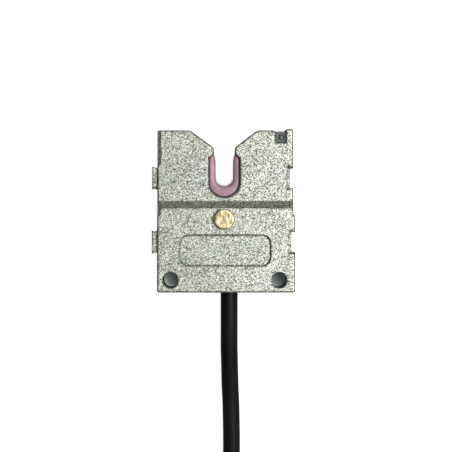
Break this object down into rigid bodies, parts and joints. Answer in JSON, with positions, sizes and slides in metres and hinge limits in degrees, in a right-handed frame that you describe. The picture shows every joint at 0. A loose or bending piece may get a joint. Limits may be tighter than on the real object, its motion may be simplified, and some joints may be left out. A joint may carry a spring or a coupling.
{
  "type": "yarn sensor",
  "caption": "Flat die-cast sensor that feels the yarn running through a U-shaped ceramic guide, with mounting holes, dovetails for standing side by side, and a fixed cable with a plug.",
  "frame": {"origin": "midway between the two mounting holes, on the flat back face", "axes": "+Z out of the front face along the mounting holes, +Y towards the open end of the yarn slot, +X to the right seen from the front"},
  "size_m": [0.0729, 0.161, 0.0168],
  "materials": {
    "zinc": "as cast zinc, fine grain, satin",
    "seal_rubber": "matt moulded",
    "steel": "bright turned",
    "brass": "worn bare brass",
    "pink_ceramic": "sintered, satin",
    "piezo_ceramic": "silvered face",
    "wire_jacket": "smooth",
    "board_laminate": "solder resist, satin",
    "chip_epoxy": "moulded, matt",
    "capacitor_ceramic": "satin",
    "tantalum_case": "moulded, satin",
    "lamp_lens": "clear, slightly milky",
    "black_plastic": "moulded, fine grain",
    "tin": "tinned, satin",
    "brown_core": "smooth",
    "blue_core": "smooth",
    "black_core": "smooth",
    "cable_jacket": "extruded, satin",
    "tie_fabric": "woven hook and loop",
    "nickel": "nickel plated, satin",
    "gold_plate": "gold plated"
  },
  "bodies": {
    "root": {"rear_housing": "zinc", "front_housing": "zinc", "housing_seal": "seal_rubber", "locating_pins": "steel", "cover_screw": "brass", "yarn_guide": "pink_ceramic", "guide_sleeve": "seal_rubber", "bender_shim": "brass", "bender_ceramic": "piezo_ceramic", "bender_wires": "wire_jacket", "circuit_board": "board_laminate", "board_screws": "steel", "amplifier_chip": "chip_epoxy", "comparator_chip": "chip_epoxy", "voltage_regulator": "chip_epoxy", "chip_resistors": "chip_epoxy", "chip_capacitors": "capacitor_ceramic", "storage_capacitor": "tantalum_case", "signal_lamp": "lamp_lens", "lamp_holder": "black_plastic", "lamp_legs": "tin", "cable_collar": "seal_rubber", "supply_core": "brown_core", "ground_core": "blue_core", "signal_core": "black_core", "solder_joints": "tin", "cable_lead": "cable_jacket", "cable_coil": "cable_jacket", "cable_tail": "cable_jacket", "coil_tie": "tie_fabric", "plug_body": "black_plastic", "plug_sleeve": "nickel", "plug_carrier": "black_plastic", "plug_pins": "gold_plate"}
  },
  "joints": []
}
